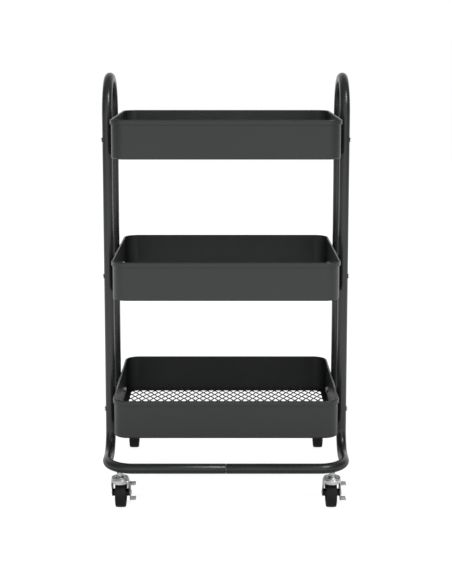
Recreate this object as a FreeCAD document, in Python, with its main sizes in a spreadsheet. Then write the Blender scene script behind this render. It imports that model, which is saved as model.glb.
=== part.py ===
"""Rolling pantry cart: three sheet-metal baskets between two bent-tube side frames, on four swivel casters.

Millimetres, +Z up, front towards -Y. The origin is on the floor, under the middle of the whole cart's box.
"""

import FreeCAD, Part
import math
import os

import Sketcher

SIZES = {
    # side frames
    "frame_width": 420.0,
    "frame_depth": 350.0,
    "handle_top": 729.0,
    "tube_dia": 17.0,
    "tube_sides": 16,
    "plan_bend": 46.0,
    "base_run": 19.5,
    "leg_bend": 40.0,
    "bend_steps": 6,
    "sleeve_length": 80.0,
    "sleeve_dia": 13.0,
    "sleeve_fit": 0.1,
    # baskets
    "rim_drop": 72.8,
    "tier_pitch": 234.8,
    "spacer_length": 4.2,
    "basket_setback": 22.2,
    "basket_height": 64.8,
    "corner_radius": 24.0,
    "sheet": 1.0,
    "hem_height": 8.2,
    "hem_depth": 2.0,
    "flange": 9.0,
    # mesh floors
    "mesh_sheet": 1.2,
    "mesh_rim": 2.0,
    "mesh_fit": 0.4,
    "cell_width": 62.0,
    "cell_length": 96.0,
    "strand": 3.6,
    # fasteners of the baskets
    "bolt_drop": 39.5,
    "bolt_dia": 5.0,
    "bolt_fit": 0.15,
    "head_dia": 8.4,
    "head_height": 2.2,
    "spacer_dia": 10.0,
    "nut_across": 8.0,
    "nut_height": 4.0,
    "hardware_sides": 12,
    "disc_sides": 24,
    # casters
    "caster_inset": 32.0,
    "mount_height": 65.5,
    "wheel_dia": 50.0,
    "wheel_width": 19.0,
    "hub_dia": 12.0,
    "hub_fit": 0.3,
    "trail": 17.0,
    "fork_width": 29.4,
    "fork_sheet": 1.8,
    "fork_end_dia": 13.0,
    "leg_front": 10.0,
    "leg_back": 13.0,
    "crown_dia": 29.4,
    "crown_bottom": 51.5,
    "crown_height": 4.0,
    "race_gap": 0.4,
    "race_dia": 28.6,
    "race_height": 2.0,
    "stem_dia": 8.0,
    "stem_depth": 13.0,
    "stem_fit": 0.15,
    "collar_across": 10.0,
    "king_pin_dia": 6.0,
    "king_pin_head_dia": 9.0,
    "king_pin_head_height": 1.4,
    "pivot_fit": 0.1,
    "axle_dia": 6.0,
    "axle_head_dia": 9.0,
    "axle_head_height": 1.2,
    # brake levers on the front casters
    "lever_sheet": 1.5,
    "lever_gap": 0.3,
    "lever_height": 34.0,
    "lever_width": 11.0,
    "lever_lift": 2.5,
    "pedal_reach": 8.6,
    "pedal_length": 17.0,
    "pedal_spacing": 26.0,
    "pedal_sheet": 1.6,
}

doc = FreeCAD.newDocument("rolling_pantry_cart")
sheet = doc.addObject("Spreadsheet::Sheet", "sizes")
for row, (alias, value) in enumerate(SIZES.items(), start=1):
    sheet.set(f"A{row}", alias)
    sheet.set(f"B{row}", str(value))
    sheet.setAlias(f"B{row}", alias)
doc.recompute()


def size(alias):
    """The sheet's value of one size."""
    return float(getattr(sheet, alias))


# Places that follow from the sizes, as expressions.
SHIFT = "(sizes.crown_dia - sizes.wheel_dia - 2 * sizes.trail) / 4"
LEG_X = "(sizes.frame_width - sizes.tube_dia) / 2"
BASE_Y = "(sizes.frame_depth - sizes.tube_dia) / 2"
LEG_Y = f"({BASE_Y} - sizes.plan_bend - sizes.base_run - sizes.leg_bend)"
BASE_Z = "sizes.mount_height + sizes.tube_dia / 2"
WALL_X = "(sizes.frame_width / 2 - sizes.tube_dia - sizes.spacer_length)"
WALL_Y = "(sizes.frame_depth / 2 - sizes.basket_setback)"
AXLE_Z = "sizes.wheel_dia / 2"
CROWN_TOP = "sizes.crown_bottom + sizes.crown_height"
RACE_Z = f"{CROWN_TOP} + sizes.race_gap"
CASTER_X = "(sizes.frame_width / 2 - sizes.caster_inset)"
CASTER_OFF = "(sizes.plan_bend + sizes.tube_dia / 2 - sizes.caster_inset)"
CASTER_Y = f"({BASE_Y} - sizes.plan_bend + sqrt(sizes.plan_bend^2 - {CASTER_OFF}^2))"
PIN_HOLE = "sizes.king_pin_dia + 2 * sizes.pivot_fit"
HARDWARE_SIDES = int(size("hardware_sides"))
DISC_SIDES = int(size("disc_sides"))
TOP_RIM = "(sizes.handle_top - sizes.rim_drop)"
TIERS = {"top": 0, "middle": 1, "bottom": 2}
CORNERS = {"front_left": (-1, -1), "front_right": (1, -1), "rear_left": (-1, 1), "rear_right": (1, 1)}
NODES = []


def bind(thing, **expressions):
    """Ties properties to expressions; Placement_Base_x stands for Placement.Base.x."""
    for name, expression in expressions.items():
        thing.setExpression(name.replace("_Base_", ".Base."), str(expression))


def place(thing, x="0", y="0", z="0", turn=None):
    """Gives an object its Placement, with its position tied to the sizes."""
    if turn:
        axis, angle = turn
        thing.Placement = FreeCAD.Placement(FreeCAD.Vector(), FreeCAD.Rotation(axis, angle))
    bind(thing, Placement_Base_x=x, Placement_Base_y=y, Placement_Base_z=z)
    return thing


def node(thing, label):
    """Marks an object as one sub-part of the cart."""
    thing.Label = label
    NODES.append(thing)
    return thing


X_AXIS = FreeCAD.Vector(1, 0, 0)
Y_AXIS = FreeCAD.Vector(0, 1, 0)
Z_AXIS = FreeCAD.Vector(0, 0, 1)
ALONG_X = (Y_AXIS, 90)


def cylinder(name, radius, height, **where):
    """A Part cylinder along its own Z."""
    thing = doc.addObject("Part::Cylinder", name)
    bind(thing, Radius=radius, Height=height)
    return place(thing, **where)


def prism(name, sides, across, height, **where):
    """A regular prism along its own Z, sized across its flats."""
    thing = doc.addObject("Part::Prism", name)
    bind(thing, Polygon=sides, Circumradius=f"({across}) / 2 / cos(180deg / ({sides}))", Height=height)
    return place(thing, **where)


def box(name, length, width, height, **where):
    """A Part box from its own corner."""
    thing = doc.addObject("Part::Box", name)
    bind(thing, Length=length, Width=width, Height=height)
    return place(thing, **where)


def cut(name, base, *tools):
    """The base without the tools."""
    thing = doc.addObject("Part::Cut", name)
    thing.Base = base
    thing.Tool = tools[0] if len(tools) == 1 else join(f"{name}_tools", *tools)
    return thing


def join(name, *shapes):
    """One solid from several that meet."""
    thing = doc.addObject("Part::MultiFuse", name)
    thing.Shapes = list(shapes)
    return thing


def group(name, shapes):
    """Several separate solids as one sub-part."""
    thing = doc.addObject("Part::Compound", name)
    thing.Links = list(shapes)
    return place(thing, y=SHIFT)


# --- sketches -----------------------------------------------------------------------------------------------


def sketch_on(body, name, role, offset="0"):
    """A sketch on one of a body's origin planes, moved along the plane's normal."""
    sketch = body.newObject("Sketcher::SketchObject", name)
    plane = next(p for p in body.Origin.OriginFeatures if p.Role == role)
    sketch.AttachmentSupport = [(plane, "")]
    sketch.MapMode = "FlatFace"
    sketch.setExpression("AttachmentOffset.Base.z", offset)
    return sketch


def pin_point(sketch, geometry, corner, x, y):
    """Ties one end of a line, or a circle's centre, to a place in the sketch."""
    for kind, expression in (("DistanceX", x), ("DistanceY", y)):
        index = sketch.addConstraint(Sketcher.Constraint(kind, -1, 1, geometry, corner, number(expression)))
        sketch.setExpression(f"Constraints[{index}]", expression)


def number(expression):
    """The value of an expression over the sheet, for a sketch's first drawing."""
    return float(doc.sizes.evalExpression(expression.replace("sizes.", "")))


def polygon(sketch, corners):
    """A closed outline of straight lines through corners given as expressions."""
    points = [FreeCAD.Vector(number(x), number(y), 0) for x, y in corners]
    first, count = sketch.GeometryCount, len(corners)
    for i in range(count):
        sketch.addGeometry(Part.LineSegment(points[i], points[(i + 1) % count]), False)
    for i in range(count):
        sketch.addConstraint(Sketcher.Constraint("Coincident", first + i, 2, first + (i + 1) % count, 1))
    for i, (x, y) in enumerate(corners):
        pin_point(sketch, first + i, 1, x, y)


def even_sided(sketch, sides, across, x="0", y="0"):
    """A regular outline sized across its flats, which stands for a round one."""
    radius = f"({across}) / 2 / cos(180deg / {sides})"
    turns = [f"{360 * i / sides}deg" for i in range(sides)]
    polygon(sketch, [(f"{x} + {radius} * cos({turn})", f"{y} + {radius} * sin({turn})") for turn in turns])


def rounded(sketch, half_x, half_y, radius):
    """A rectangle about the origin with round corners."""
    hx, hy, r = number(half_x), number(half_y), number(radius)
    first = sketch.GeometryCount
    flat_x, flat_y = f"({half_x}) - ({radius})", f"({half_y}) - ({radius})"
    sides = [
        ((flat_x, half_y), (f"-({flat_x})", half_y)),
        ((f"-({half_x})", flat_y), (f"-({half_x})", f"-({flat_y})")),
        ((f"-({flat_x})", f"-({half_y})"), (flat_x, f"-({half_y})")),
        ((half_x, f"-({flat_y})"), (half_x, flat_y)),
    ]
    for start, end in sides:
        ends = [FreeCAD.Vector(number(x), number(y), 0) for x, y in (start, end)]
        sketch.addGeometry(Part.LineSegment(*ends), False)
    centres = [(r - hx, hy - r), (r - hx, r - hy), (hx - r, r - hy), (hx - r, hy - r)]
    for quarter, (x, y) in enumerate(centres):
        whole = Part.Circle(FreeCAD.Vector(x, y, 0), Z_AXIS, r)
        start = math.pi / 2 * (quarter + 1)
        sketch.addGeometry(Part.ArcOfCircle(whole, start, start + math.pi / 2), False)
    for i, (start, end) in enumerate(sides):
        pin_point(sketch, first + i, 1, *start)
        pin_point(sketch, first + i, 2, *end)
    for i in range(4):
        arc = first + 4 + i
        sketch.addConstraint(Sketcher.Constraint("Tangent", first + i, 2, arc, 1))
        sketch.addConstraint(Sketcher.Constraint("Coincident", arc, 2, first + (i + 1) % 4, 1))


def pad(body, name, sketch, length, midplane=False, feature="Pad", back=False):
    """Pads or pockets a sketch."""
    thing = body.newObject(f"PartDesign::{feature}", name)
    thing.Profile = sketch
    bind(thing, Length=length)
    thing.Midplane = midplane
    thing.Reversed = back
    sketch.Visibility = False
    body.Tip = thing
    return thing


def new_body(label):
    body = doc.addObject("PartDesign::Body", label)
    return node(body, label)


# --- side frames --------------------------------------------------------------------------------------------


def bend(centre, radius, start, end):
    """Points round a quarter bend, from one side of its centre to the next."""
    steps = int(size("bend_steps"))
    turns = [math.pi / 2 * i / steps for i in range(steps + 1)]
    return [centre + start * (radius * math.cos(turn)) + end * (radius * math.sin(turn)) for turn in turns]


def frame_path():
    """The centreline of the left side frame's tube, from the front joint over the handle to the rear joint."""
    x, leg_y, base_y, base_z = number(LEG_X), number(LEG_Y), number(BASE_Y), number(BASE_Z)
    plan, foot = size("plan_bend"), size("leg_bend")
    arch_z = size("handle_top") - size("tube_dia") / 2 - leg_y
    front = [FreeCAD.Vector(0, -base_y, base_z)]
    front += bend(FreeCAD.Vector(plan - x, plan - base_y, base_z), plan, -Y_AXIS, -X_AXIS)
    front += bend(FreeCAD.Vector(-x, -leg_y - foot, base_z + foot), foot, -Z_AXIS, Y_AXIS)
    front += bend(FreeCAD.Vector(-x, 0, arch_z), leg_y, -Y_AXIS, Z_AXIS)
    rear = [FreeCAD.Vector(point.x, -point.y, point.z) for point in front[-2::-1]]
    return Part.makePolygon(front + rear)


def bolt_places():
    """Each tier's name and the height of its bolts."""
    return {tier: f"{TOP_RIM} - {step} * sizes.tier_pitch - sizes.bolt_drop" for tier, step in TIERS.items()}


def left_frame():
    path = doc.addObject("Part::Feature", "tube_path")
    path.Shape = frame_path()
    section = doc.addObject("Part::RegularPolygon", "tube_section")
    corner_reach = "sizes.tube_dia / 2 / cos(180deg / sizes.tube_sides)"
    bind(section, Polygon="sizes.tube_sides", Circumradius=corner_reach)
    section.Placement.Rotation = FreeCAD.Rotation(Y_AXIS, 90).multiply(
        FreeCAD.Rotation(Z_AXIS, 180 / size("tube_sides"))
    )
    bind(section, Placement_Base_y=f"-({BASE_Y})", Placement_Base_z=BASE_Z)
    tube = doc.addObject("Part::Sweep", "bent_tube")
    tube.Sections = [section]
    tube.Spine = (path, [f"Edge{i + 1}" for i in range(len(path.Shape.Edges))])
    tube.Solid = True
    tube.Transition = "Right corner"
    tools = []
    for end, side in (("front", -1), ("rear", 1)):
        bore = prism(
            f"{end}_socket",
            "sizes.tube_sides",
            "sizes.sleeve_dia + 2 * sizes.sleeve_fit",
            "sizes.sleeve_length / 2",
            x="-sizes.sleeve_length / 2",
            y=f"{side} * ({BASE_Y})",
            z=BASE_Z,
            turn=ALONG_X,
        )
        tools.append(bore)
        stem = prism(
            f"{end}_stem_hole",
            "sizes.hardware_sides",
            "sizes.stem_dia + 2 * sizes.stem_fit",
            "sizes.stem_depth",
            x=f"-({CASTER_X})",
            y=f"{side} * {CASTER_Y}",
            z="sizes.mount_height",
        )
        tools.append(stem)
        for tier, height in bolt_places().items():
            hole = box(
                f"{end}_{tier}_bolt_hole",
                "2 * sizes.tube_dia",
                "sizes.bolt_dia + 2 * sizes.bolt_fit",
                "sizes.bolt_dia + 2 * sizes.bolt_fit",
                x=f"-({LEG_X}) - sizes.tube_dia",
                y=f"{side} * ({LEG_Y}) - sizes.bolt_dia / 2 - sizes.bolt_fit",
                z=f"{height} - sizes.bolt_dia / 2 - sizes.bolt_fit",
            )
            tools.append(hole)
    frame = cut("left_frame", tube, *tools)
    place(frame, y=SHIFT)
    return node(frame, "left_side_frame")


def right_frame(left):
    mirror = doc.addObject("Part::Mirroring", "right_frame")
    mirror.Source = left
    mirror.Normal = X_AXIS
    return node(mirror, "right_side_frame")


def sleeve(end, side):
    """The plug that joins the two side frames inside one of the base tubes."""
    thing = prism(
        f"{end}_sleeve",
        "sizes.tube_sides",
        "sizes.sleeve_dia",
        "sizes.sleeve_length",
        x="-sizes.sleeve_length / 2",
        y=f"{side} * ({BASE_Y}) + {SHIFT}",
        z=BASE_Z,
        turn=ALONG_X,
    )
    return node(thing, f"{end}_joint_sleeve")


# --- baskets ------------------------------------------------------------------------------------------------


def basket(tier, step):
    """A rolled sheet wall with a hem round its rim and a flange turned in under its floor."""
    body = new_body(f"{tier}_basket")
    place(body, y=SHIFT, z=f"{TOP_RIM} - {step} * sizes.tier_pitch - sizes.basket_height")
    outline = sketch_on(body, f"{tier}_wall_outline", "XY_Plane")
    rounded(outline, WALL_X, WALL_Y, "sizes.corner_radius")
    pad(body, f"{tier}_wall", outline, "sizes.basket_height")
    band = sketch_on(body, f"{tier}_hem_outline", "XY_Plane", "sizes.basket_height - sizes.hem_height")
    proud = "sizes.hem_depth"
    rounded(band, f"{WALL_X} + {proud}", f"{WALL_Y} + {proud}", f"sizes.corner_radius + {proud}")
    pad(body, f"{tier}_hem", band, "sizes.hem_height")
    inside = sketch_on(body, f"{tier}_inside_outline", "XY_Plane", "sizes.sheet")
    rounded(inside, f"{WALL_X} - sizes.sheet", f"{WALL_Y} - sizes.sheet", "sizes.corner_radius - sizes.sheet")
    pad(body, f"{tier}_inside", inside, "sizes.basket_height", feature="Pocket", back=True)
    opening = sketch_on(body, f"{tier}_floor_outline", "XY_Plane")
    rounded(
        opening,
        f"{WALL_X} - sizes.flange",
        f"{WALL_Y} - sizes.flange",
        "sizes.corner_radius - sizes.flange",
    )
    pad(body, f"{tier}_floor_opening", opening, "sizes.basket_height", feature="Pocket", back=True)
    holes = sketch_on(body, f"{tier}_bolt_hole_outline", "YZ_Plane")
    square_holes(holes)
    pad(body, f"{tier}_bolt_holes", holes, "2 * sizes.frame_width", midplane=True, feature="Pocket")
    return body


def square_holes(sketch):
    """The front and rear bolts' square holes, seen along X."""
    half = "(sizes.bolt_dia / 2 + sizes.bolt_fit)"
    height = "(sizes.basket_height - sizes.bolt_drop)"
    for side in (-1, 1):
        middle = f"{side} * {LEG_Y}"
        corners = [
            (f"{middle} - {half}", f"{height} - {half}"),
            (f"{middle} + {half}", f"{height} - {half}"),
            (f"{middle} + {half}", f"{height} + {half}"),
            (f"{middle} - {half}", f"{height} + {half}"),
        ]
        polygon(sketch, corners)


def mesh_cells():
    """Prisms that cut the diamond cells of one expanded-metal floor, clipped to the flange's opening."""
    half_x = number(WALL_X) - size("flange")
    half_y = number(WALL_Y) - size("flange")
    columns = round(2 * half_x / size("cell_width"))
    rows = round(2 * half_y / size("cell_length"))
    wide, long = half_x / columns, half_y / rows
    slope = math.hypot(wide, long)
    hole_x = wide - size("strand") * slope / long / 2
    hole_y = long - size("strand") * slope / wide / 2
    cells = []
    for column in range(-columns, columns + 1):
        for row in range(-rows, rows + 1):
            if (column + row) % 2:
                continue
            x, y = column * wide, row * long
            corners = [(x - hole_x, y), (x, y - hole_y), (x + hole_x, y), (x, y + hole_y), (x - hole_x, y)]
            outline = Part.makePolygon([FreeCAD.Vector(*corner, 0) for corner in corners])
            cells.append(Part.Face(outline).extrude(Z_AXIS * size("mesh_sheet")))
    rim = size("mesh_rim")
    window = Part.makeBox(
        2 * (half_x - rim),
        2 * (half_y - rim),
        size("mesh_sheet"),
        FreeCAD.Vector(rim - half_x, rim - half_y, 0),
    )
    upright = [edge for edge in window.Edges if abs(edge.tangentAt(0).z) > 0.5]
    window = window.makeFillet(size("corner_radius") - size("flange") - rim, upright)
    return Part.makeCompound(cells).common(window)


def mesh_floor(tier, step):
    """The see-through floor that lies on a basket's flange."""
    blank = doc.addObject("PartDesign::Body", f"{tier}_mesh_blank")
    outline = sketch_on(blank, f"{tier}_mesh_outline", "XY_Plane")
    margin = "(sizes.sheet + sizes.mesh_fit)"
    rounded(outline, f"{WALL_X} - {margin}", f"{WALL_Y} - {margin}", f"sizes.corner_radius - {margin}")
    pad(blank, f"{tier}_mesh_sheet", outline, "sizes.mesh_sheet")
    cells = doc.addObject("Part::Feature", f"{tier}_mesh_cells")
    cells.Shape = mesh_cells()
    floor = cut(f"{tier}_mesh", blank, cells)
    bottom = f"{TOP_RIM} - {step} * sizes.tier_pitch - sizes.basket_height + sizes.sheet"
    place(floor, y=SHIFT, z=bottom)
    return node(floor, f"{tier}_basket_floor")


# --- fasteners of the baskets -------------------------------------------------------------------------------

LEG_FACE = "sizes.frame_width / 2"
LEG_INNER = "(sizes.frame_width / 2 - sizes.tube_dia)"
WALL_INNER = f"({WALL_X} - sizes.sheet)"


def four_sided(tier, kind, make):
    """One fastener of a kind at each leg of a tier."""
    made = [make(f"{tier}_{kind}_{corner}", *sides) for corner, sides in CORNERS.items()]
    return node(group(f"{tier}_{kind}_group", made), f"{tier}_{kind}")


def tier_bolts(tier, height):
    def bolt(name, side_x, side_y):
        inner = f"({WALL_INNER} - sizes.nut_height)"
        low_x = inner if side_x > 0 else f"-({LEG_FACE})"
        shank = box(
            f"{name}_shank",
            f"{LEG_FACE} - {inner}",
            "sizes.bolt_dia",
            "sizes.bolt_dia",
            x=low_x,
            y=f"{side_y} * {LEG_Y} - sizes.bolt_dia / 2",
            z=f"{height} - sizes.bolt_dia / 2",
        )
        head = prism(
            f"{name}_head",
            "sizes.hardware_sides",
            "sizes.head_dia",
            "sizes.head_height",
            x=LEG_FACE if side_x > 0 else f"-({LEG_FACE}) - sizes.head_height",
            y=f"{side_y} * {LEG_Y}",
            z=height,
            turn=ALONG_X,
        )
        return join(name, shank, head)

    return four_sided(tier, "bolts", bolt)


def square_hole(name, height, side_y):
    """A cutter for a bolt's square hole that crosses the whole cart."""
    return box(
        name,
        "2 * sizes.frame_width",
        "sizes.bolt_dia + 2 * sizes.bolt_fit",
        "sizes.bolt_dia + 2 * sizes.bolt_fit",
        x="-sizes.frame_width",
        y=f"{side_y} * {LEG_Y} - sizes.bolt_dia / 2 - sizes.bolt_fit",
        z=f"{height} - sizes.bolt_dia / 2 - sizes.bolt_fit",
    )


def tier_spacers(tier, height):
    def spacer(name, side_x, side_y):
        disc = prism(
            f"{name}_disc",
            "sizes.hardware_sides",
            "sizes.spacer_dia",
            "sizes.spacer_length",
            x=WALL_X if side_x > 0 else f"-{LEG_INNER}",
            y=f"{side_y} * {LEG_Y}",
            z=height,
            turn=ALONG_X,
        )
        return cut(name, disc, square_hole(f"{name}_hole", height, side_y))

    return four_sided(tier, "spacers", spacer)


def tier_nuts(tier, height):
    def nut(name, side_x, side_y):
        blank = prism(
            f"{name}_blank",
            "6",
            "sizes.nut_across",
            "sizes.nut_height",
            x=f"{WALL_INNER} - sizes.nut_height" if side_x > 0 else f"-{WALL_INNER}",
            y=f"{side_y} * {LEG_Y}",
            z=height,
            turn=ALONG_X,
        )
        return cut(name, blank, square_hole(f"{name}_hole", height, side_y))

    return four_sided(tier, "nuts", nut)


# --- casters ------------------------------------------------------------------------------------------------


def caster_place(corner):
    side_x, side_y = CORNERS[corner]
    return {"x": f"{side_x} * {CASTER_X}", "y": f"{side_y} * {CASTER_Y} + {SHIFT}"}


def stems():
    """Each caster's fixed half: threaded stem, hexagon, upper race plate and king pin in one piece."""
    made = []
    race_top = f"({RACE_Z} + sizes.race_height)"
    head_z = "(sizes.crown_bottom - sizes.race_gap - sizes.king_pin_head_height)"
    for corner, (side_x, side_y) in CORNERS.items():
        where = {"x": f"{side_x} * {CASTER_X}", "y": f"{side_y} * {CASTER_Y}"}
        thread = prism(
            f"{corner}_thread",
            "sizes.hardware_sides",
            "sizes.stem_dia",
            "sizes.stem_depth",
            z="sizes.mount_height",
            **where,
        )
        hexagon = prism(
            f"{corner}_hexagon",
            "6",
            "sizes.collar_across",
            f"sizes.mount_height - {race_top}",
            z=race_top,
            **where,
        )
        race = prism(
            f"{corner}_race",
            "sizes.disc_sides",
            "sizes.race_dia",
            "sizes.race_height",
            z=RACE_Z,
            **where,
        )
        pin = prism(
            f"{corner}_pin",
            "sizes.hardware_sides",
            "sizes.king_pin_dia",
            f"{RACE_Z} - {head_z}",
            z=head_z,
            **where,
        )
        head = prism(
            f"{corner}_pin_head",
            "sizes.hardware_sides",
            "sizes.king_pin_head_dia",
            "sizes.king_pin_head_height",
            z=head_z,
            **where,
        )
        made.append(join(f"{corner}_stem", thread, hexagon, race, pin, head))
    return node(group("stem_group", made), "caster_stems")


def fork(corner):
    """A pressed steel yoke: a round crown with two legs that run back to the axle."""
    body = new_body(f"{corner}_fork")
    place(body, **caster_place(corner))
    crown = sketch_on(body, f"{corner}_crown_outline", "XY_Plane", "sizes.crown_bottom")
    even_sided(crown, DISC_SIDES, "sizes.crown_dia")
    pad(body, f"{corner}_crown", crown, "sizes.crown_height")
    legs = sketch_on(body, f"{corner}_leg_outline", "YZ_Plane")
    end = "sizes.fork_end_dia / 2"
    blunt = f"{end} * tan(22.5deg)"
    shoulder = "sizes.crown_bottom + sizes.fork_sheet"
    waist = "sizes.crown_bottom - 2 * sizes.fork_sheet"
    polygon(
        legs,
        [
            ("-sizes.leg_front", shoulder),
            ("-sizes.leg_front", waist),
            (f"sizes.trail - {end}", f"{AXLE_Z} + {blunt}"),
            (f"sizes.trail - {end}", f"{AXLE_Z} - {blunt}"),
            (f"sizes.trail - {blunt}", f"{AXLE_Z} - {end}"),
            (f"sizes.trail + {blunt}", f"{AXLE_Z} - {end}"),
            (f"sizes.trail + {end}", f"{AXLE_Z} - {blunt}"),
            (f"sizes.trail + {end}", f"{AXLE_Z} + {blunt}"),
            ("sizes.leg_back", waist),
            ("sizes.leg_back", shoulder),
        ],
    )
    pad(body, f"{corner}_legs", legs, "sizes.fork_width", midplane=True)
    space = sketch_on(body, f"{corner}_space_outline", "YZ_Plane")
    polygon(
        space,
        [
            ("-sizes.crown_dia", "0"),
            ("2 * sizes.trail + sizes.crown_dia", "0"),
            ("2 * sizes.trail + sizes.crown_dia", "sizes.crown_bottom"),
            ("-sizes.crown_dia", "sizes.crown_bottom"),
        ],
    )
    inner = "sizes.fork_width - 2 * sizes.fork_sheet"
    pad(body, f"{corner}_wheel_space", space, inner, midplane=True, feature="Pocket")
    pin = sketch_on(body, f"{corner}_pin_outline", "XY_Plane", "sizes.crown_bottom")
    even_sided(pin, HARDWARE_SIDES, PIN_HOLE)
    pad(body, f"{corner}_pin_hole", pin, "sizes.crown_height", feature="Pocket", back=True)
    axle = sketch_on(body, f"{corner}_axle_outline", "YZ_Plane")
    even_sided(axle, HARDWARE_SIDES, "sizes.axle_dia", "sizes.trail", AXLE_Z)
    pad(body, f"{corner}_axle_holes", axle, "2 * sizes.fork_width", midplane=True, feature="Pocket")
    return body


def wheel(corner):
    """A moulded wheel on the X axis: a broad round tread and a hub that fills the fork."""
    where = caster_place(corner)
    place_y = f"{where['y']} + sizes.trail"
    hub_width = "(sizes.fork_width - 2 * sizes.fork_sheet - 2 * sizes.hub_fit)"

    def along(width):
        return {"x": f"{where['x']} - {width} / 2", "y": place_y, "z": AXLE_Z, "turn": ALONG_X}

    tread = cylinder(f"{corner}_tread", AXLE_Z, "sizes.wheel_width", **along("sizes.wheel_width"))
    hub = prism(f"{corner}_hub", "sizes.hardware_sides", "sizes.hub_dia", hub_width, **along(hub_width))
    bore = prism(
        f"{corner}_bore",
        "sizes.hardware_sides",
        "sizes.axle_dia + 2 * sizes.pivot_fit",
        "2 * sizes.fork_width",
        **along("(2 * sizes.fork_width)"),
    )
    solid = cut(f"{corner}_wheel_solid", join(f"{corner}_wheel_blank", tread, hub), bore)
    return node(solid, f"{corner}_wheel")


def axle(corner):
    """The axle rivet with a flat head on each side, outside the fork and any lever."""
    where = caster_place(corner)
    outer = "sizes.fork_width / 2"
    lever = "sizes.lever_gap + sizes.lever_sheet + sizes.lever_gap" if corner.startswith("front") else "0"
    place_y = f"{where['y']} + sizes.trail"
    shank = cylinder(
        f"{corner}_axle_shank",
        "sizes.axle_dia / 2",
        f"sizes.fork_width + {lever}",
        x=f"{where['x']} - {outer}",
        y=place_y,
        z=AXLE_Z,
        turn=ALONG_X,
    )
    heads = [
        prism(
            f"{corner}_axle_{end}",
            "sizes.hardware_sides",
            "sizes.axle_head_dia",
            "sizes.axle_head_height",
            x=start,
            y=place_y,
            z=AXLE_Z,
            turn=ALONG_X,
        )
        for end, start in (
            ("left_head", f"{where['x']} - {outer} - sizes.axle_head_height"),
            ("right_head", f"{where['x']} + {outer} + {lever}"),
        )
    ]
    return node(join(f"{corner}_axle_rivet", shank, *heads), f"{corner}_axle")


def brake_lever(corner):
    """A rocking lever on the axle, outside the fork, with a pedal above and one below."""
    body = new_body(f"{corner}_brake_lever")
    where = caster_place(corner)
    inner = "(sizes.fork_width / 2 + sizes.lever_gap)"
    place(body, x=f"{where['x']} + {inner}", y=f"{where['y']} + sizes.trail", z=AXLE_Z)
    plate = sketch_on(body, f"{corner}_lever_outline", "YZ_Plane")
    half, narrow = "sizes.lever_width / 2", "sizes.lever_width / 4"
    top = "sizes.lever_lift + sizes.lever_height / 2"
    bottom = "sizes.lever_lift - sizes.lever_height / 2"
    polygon(
        plate,
        [
            (f"-{half}", f"-{half}"),
            (f"-{narrow}", bottom),
            (narrow, bottom),
            (half, f"-{half}"),
            (half, half),
            (narrow, top),
            (f"-{narrow}", top),
            (f"-{half}", half),
        ],
    )
    pad(body, f"{corner}_lever_plate", plate, "sizes.lever_sheet")
    for kind, side in (("upper", 1), ("lower", -1)):
        outline = sketch_on(body, f"{corner}_{kind}_pedal_outline", "YZ_Plane")
        low = f"sizes.lever_lift + {side} * sizes.pedal_spacing / 2 - sizes.pedal_sheet / 2"
        polygon(
            outline,
            [
                ("-sizes.pedal_length / 2", low),
                ("sizes.pedal_length / 2", low),
                ("sizes.pedal_length / 2", f"{low} + sizes.pedal_sheet"),
                ("-sizes.pedal_length / 2", f"{low} + sizes.pedal_sheet"),
            ],
        )
        pad(body, f"{corner}_{kind}_pedal", outline, "sizes.lever_sheet + sizes.pedal_reach")
    pivot = sketch_on(body, f"{corner}_pivot_outline", "YZ_Plane")
    even_sided(pivot, HARDWARE_SIDES, "sizes.axle_dia + 2 * sizes.pivot_fit")
    pad(body, f"{corner}_pivot_hole", pivot, "sizes.lever_sheet", feature="Pocket", back=True)
    return body


def check_and_write():
    """Stops on any object that failed, then writes one STEP file for each sub-part."""
    failed = [thing.Name for thing in doc.Objects if {"Invalid", "Error"} & set(thing.State)]
    if failed:
        raise RuntimeError(f"failed objects: {failed}")
    os.makedirs("parts", exist_ok=True)
    for thing in NODES:
        shape = thing.Shape
        if shape.isNull() or not shape.isValid() or not shape.Solids:
            raise RuntimeError(f"{thing.Label} has no valid solid")
    for thing in NODES:
        thing.Shape.exportStep(f"parts/{thing.Label}.step")


def build():
    left = left_frame()
    right_frame(left)
    sleeve("front", -1)
    sleeve("rear", 1)
    for tier, step in TIERS.items():
        basket(tier, step)
        mesh_floor(tier, step)
    for tier, height in bolt_places().items():
        tier_bolts(tier, height)
        tier_spacers(tier, height)
        tier_nuts(tier, height)
    stems()
    for corner in CORNERS:
        fork(corner)
        wheel(corner)
        axle(corner)
        if corner.startswith("front"):
            brake_lever(corner)
    doc.recompute()
    check_and_write()


build()
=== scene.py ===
"""Dresses the rolling pantry cart: bent tubes, three baskets with mesh floors, and four swivel casters."""

import math

import bmesh
import bpy
from mathutils import Matrix, Vector


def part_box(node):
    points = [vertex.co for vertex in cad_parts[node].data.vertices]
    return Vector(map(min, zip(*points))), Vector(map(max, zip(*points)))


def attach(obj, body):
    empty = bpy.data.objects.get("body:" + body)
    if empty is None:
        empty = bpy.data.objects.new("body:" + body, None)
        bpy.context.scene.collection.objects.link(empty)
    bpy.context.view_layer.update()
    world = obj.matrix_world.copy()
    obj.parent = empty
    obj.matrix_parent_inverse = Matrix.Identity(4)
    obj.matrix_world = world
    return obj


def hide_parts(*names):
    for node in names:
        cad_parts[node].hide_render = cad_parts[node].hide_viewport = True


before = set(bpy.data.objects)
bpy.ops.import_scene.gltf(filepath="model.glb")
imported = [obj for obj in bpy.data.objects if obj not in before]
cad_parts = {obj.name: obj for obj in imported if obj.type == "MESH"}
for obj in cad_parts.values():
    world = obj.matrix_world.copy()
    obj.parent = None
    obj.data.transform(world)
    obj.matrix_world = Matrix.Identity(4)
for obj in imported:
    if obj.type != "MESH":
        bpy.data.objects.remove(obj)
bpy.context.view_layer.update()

# --- sizes ----------------------------------------------------------------------------------------

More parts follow.
